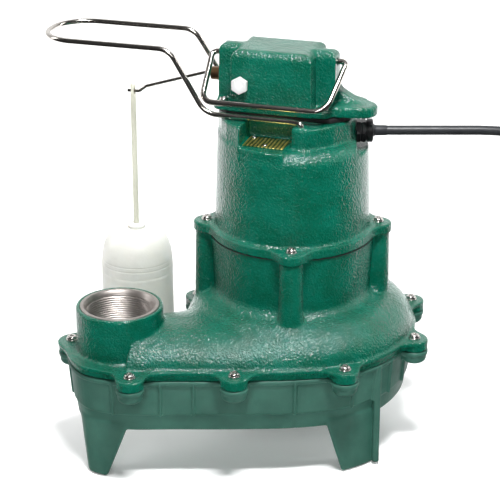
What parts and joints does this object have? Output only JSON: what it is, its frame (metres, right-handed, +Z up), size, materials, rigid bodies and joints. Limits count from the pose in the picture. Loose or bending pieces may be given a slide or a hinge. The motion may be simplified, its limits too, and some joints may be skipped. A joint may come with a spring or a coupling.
{
  "type": "submersible sump pump",
  "caption": "Float-operated submersible sump pump: cast volute on legs, vertical sealed motor, switch case with bail, guarded float and coiled power cord.",
  "frame": {"origin": "middle of the pump's own bounding box, without the cord, on the floor plane under its feet", "axes": "+Z up along the shaft; +X to the right, the way the power cord leaves; +Y to the back, away from the discharge side"},
  "size_m": [0.5817, 0.2862, 0.3833],
  "materials": {
    "casting": "glossy green enamel over a sand-cast skin",
    "base_moulding": "green moulded plastic, satin",
    "gasket_rubber": "matt black",
    "screw_steel": "plain steel",
    "machined_steel": "ground",
    "lamination_steel": "stacked sheet",
    "winding_copper": "enamelled copper wire",
    "stainless_rod": "bright drawn rod",
    "bright_plate": "bright plated",
    "bronze": "bearing bronze",
    "brass_plate": "satin brass",
    "black_moulding": "black moulded",
    "cord_jacket": "charcoal jacket",
    "float_moulding": "off-white",
    "rod_moulding": "off-white"
  },
  "bodies": {
    "pump": {"pump_housing": "casting", "motor_housing": "casting", "switch_case": "casting", "pump_base": "base_moulding", "base_gasket": "gasket_rubber", "housing_gasket": "gasket_rubber", "case_gasket": "gasket_rubber", "shaft_seal": "gasket_rubber", "volute_screw_1": "screw_steel", "volute_screw_2": "screw_steel", "volute_screw_3": "screw_steel", "volute_screw_4": "screw_steel", "volute_screw_5": "screw_steel", "volute_screw_6": "screw_steel", "volute_screw_7": "screw_steel", "volute_screw_8": "screw_steel", "volute_screw_9": "screw_steel", "volute_screw_10": "screw_steel", "motor_screw_1": "screw_steel", "motor_screw_2": "screw_steel", "motor_screw_3": "screw_steel", "motor_screw_4": "screw_steel", "case_screw_1": "screw_steel", "case_screw_2": "screw_steel", "case_screw_3": "screw_steel", "case_screw_4": "screw_steel", "nameplate_pin_1": "screw_steel", "nameplate_pin_2": "screw_steel", "upper_bearing": "machined_steel", "lower_bearing": "machined_steel", "stator_core": "lamination_steel", "lower_winding": "winding_copper", "upper_winding": "winding_copper", "float_guard": "stainless_rod", "test_plug": "bright_plate", "plug_blade_1": "bright_plate", "plug_blade_2": "bright_plate", "plug_ground_pin": "bright_plate", "pivot_bushing": "bronze", "nameplate": "brass_plate", "switch_body": "black_moulding", "cord_gland_nut": "black_moulding", "strain_relief": "black_moulding", "cord_plug": "black_moulding", "cord_tie": "black_moulding", "power_cord": "cord_jacket", "cord_tail": "cord_jacket", "cord_coil": "cord_jacket"},
    "bail": {"bail_handle": "stainless_rod"},
    "arm": {"float_arm": "stainless_rod", "arm_pivot_ball": "bronze"},
    "float": {"float_rod": "rod_moulding", "float_body": "float_moulding", "float_collar": "float_moulding"},
    "rotor": {"shaft": "machined_steel", "rotor_core": "lamination_steel", "impeller": "casting"},
    "lever": {"switch_lever": "bronze"}
  },
  "joints": [
    {"name": "bail_fold", "type": "hinge", "parent": "pump", "child": "bail", "pos_m": [0.03691, 0.01449, 0.3725], "axis": [-0.9563, 0.2924, 0], "range_deg": [0, 265]},
    {"name": "float_arm_tilt", "type": "hinge", "parent": "pump", "child": "arm", "pos_m": [-0.01808, 0.0313, 0.3515], "axis": [0.2924, 0.9563, 0], "range_deg": [0, 28]},
    {"name": "float_rod_swing", "type": "hinge", "parent": "arm", "child": "float", "pos_m": [-0.09984, 0.0563, 0.327], "axis": [0.2924, 0.9563, 0], "range_deg": [-28, 0]},
    {"name": "shaft_spin", "type": "hinge", "parent": "pump", "child": "rotor", "pos_m": [0.0503, 0.0104, 0.2], "axis": [0, 0, 1], "continuous": true},
    {"name": "switch_lever_tilt", "type": "hinge", "parent": "pump", "child": "lever", "pos_m": [0.03882, 0.01391, 0.3535], "axis": [0.2924, 0.9563, 0], "range_deg": [-26, 0]}
  ],
  "couplings": [
    {"joint": "float_rod_swing", "follows": "float_arm_tilt", "ratio": -1},
    {"joint": "switch_lever_tilt", "follows": "float_arm_tilt", "ratio": -0.9}
  ]
}
